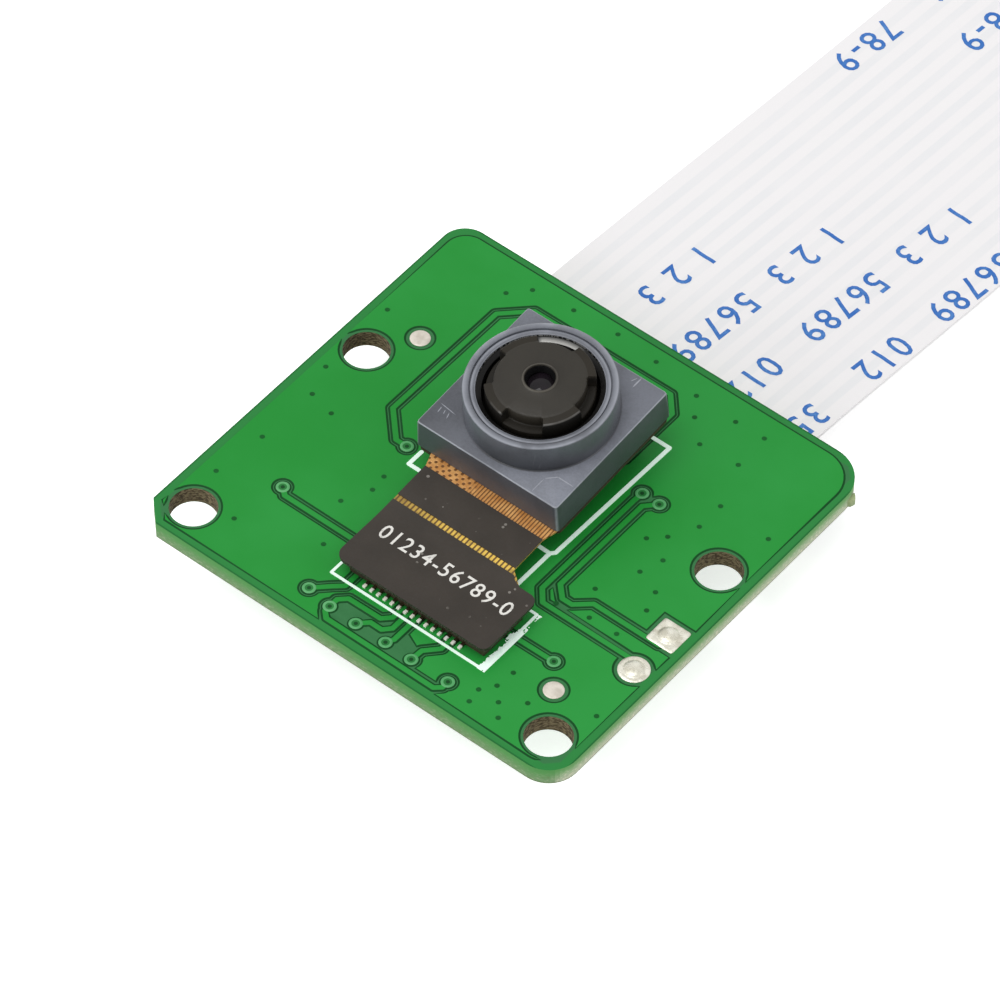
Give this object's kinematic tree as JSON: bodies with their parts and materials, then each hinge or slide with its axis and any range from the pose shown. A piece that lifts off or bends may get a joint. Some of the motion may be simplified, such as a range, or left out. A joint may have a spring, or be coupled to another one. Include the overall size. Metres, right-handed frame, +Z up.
{
  "type": "camera module",
  "caption": "Small square camera board with a screw-focus lens on a short flex, and a flat ribbon held by a latching connector underneath.",
  "frame": {"origin": "below the middle of the board, on the plane of the ribbon connector's lowest face", "axes": "+X along the board's front edge, +Y towards the ribbon, +Z up, the way the lens looks"},
  "size_m": [0.0246, 0.1698, 0.0095],
  "materials": {
    "board": "green solder mask over laminate",
    "bare_pad": "tinned",
    "solder": "satin solder",
    "white_print": "matt ink",
    "connector_plastic": "cream moulded",
    "contact_metal": "gold flash",
    "flex_film": "amber film over copper",
    "flex_cover": "black cover film",
    "stiffener": "brown laminate",
    "foam": "black foam tape",
    "silicon": "bare die",
    "pixel_glaze": "iridescent micro lenses",
    "filter_glass": "blue glass",
    "holder_plastic": "fine textured black",
    "barrel_plastic": "satin black",
    "lens_glass": "coated",
    "spacer_film": "matt black film",
    "zif_plastic": "cream moulded",
    "latch_plastic": "dark moulded",
    "can_metal": "nickel lid",
    "chip_plastic": "moulded black",
    "capacitor_body": "tan ceramic",
    "ribbon_film": "white film",
    "tinned_copper": "tinned",
    "blue_film": "blue film"
  },
  "bodies": {
    "module": {"circuit_board": "board", "fiducial_marks": "bare_pad", "header_pads": "bare_pad", "header_solder": "solder", "board_print": "white_print", "flex_receptacle": "connector_plastic", "receptacle_contacts": "contact_metal", "flex_plug": "connector_plastic", "plug_contacts": "contact_metal", "sensor_flex": "flex_film", "flex_covers": "flex_cover", "holder_stiffener": "stiffener", "foam_pad": "foam", "image_sensor": "silicon", "pixel_array": "pixel_glaze", "infrared_filter": "filter_glass", "lens_holder": "holder_plastic", "zif_housing": "zif_plastic", "zif_contacts": "contact_metal", "zif_anchors": "contact_metal", "oscillator": "can_metal", "voltage_regulators": "chip_plastic", "regulator_leads": "contact_metal", "control_chip": "chip_plastic", "chip_leads": "contact_metal", "capacitors": "capacitor_body", "capacitor_caps": "solder", "resistors": "chip_plastic", "resistor_caps": "solder", "ribbon": "ribbon_film", "ribbon_contacts": "tinned_copper", "ribbon_stiffeners": "blue_film"},
    "lens_elements": {"front_lens": "lens_glass", "middle_lens": "lens_glass", "rear_lens": "lens_glass"},
    "barrel": {"lens_barrel": "barrel_plastic", "lens_spacers": "spacer_film", "lens_retainer": "barrel_plastic"},
    "latch": {"zif_latch": "latch_plastic"}
  },
  "joints": [
    {"name": "focus_slide", "type": "slide", "parent": "module", "child": "lens_elements", "axis": [0, -0.0958, 0.9954], "range_m": [-0.000175, 0.000175]},
    {"name": "focus_turn", "type": "hinge", "parent": "lens_elements", "child": "barrel", "pos_m": [-0.0001, 0.00282, 0.00536], "axis": [0, -0.0958, 0.9954], "range_deg": [-180, 180]},
    {"name": "latch_slide", "type": "slide", "parent": "module", "child": "latch", "axis": [0, 1, 0], "range_m": [0, 0.0009]}
  ],
  "couplings": [
    {"joint": "focus_turn", "follows": "focus_slide", "rad_per_m": 17952}
  ]
}
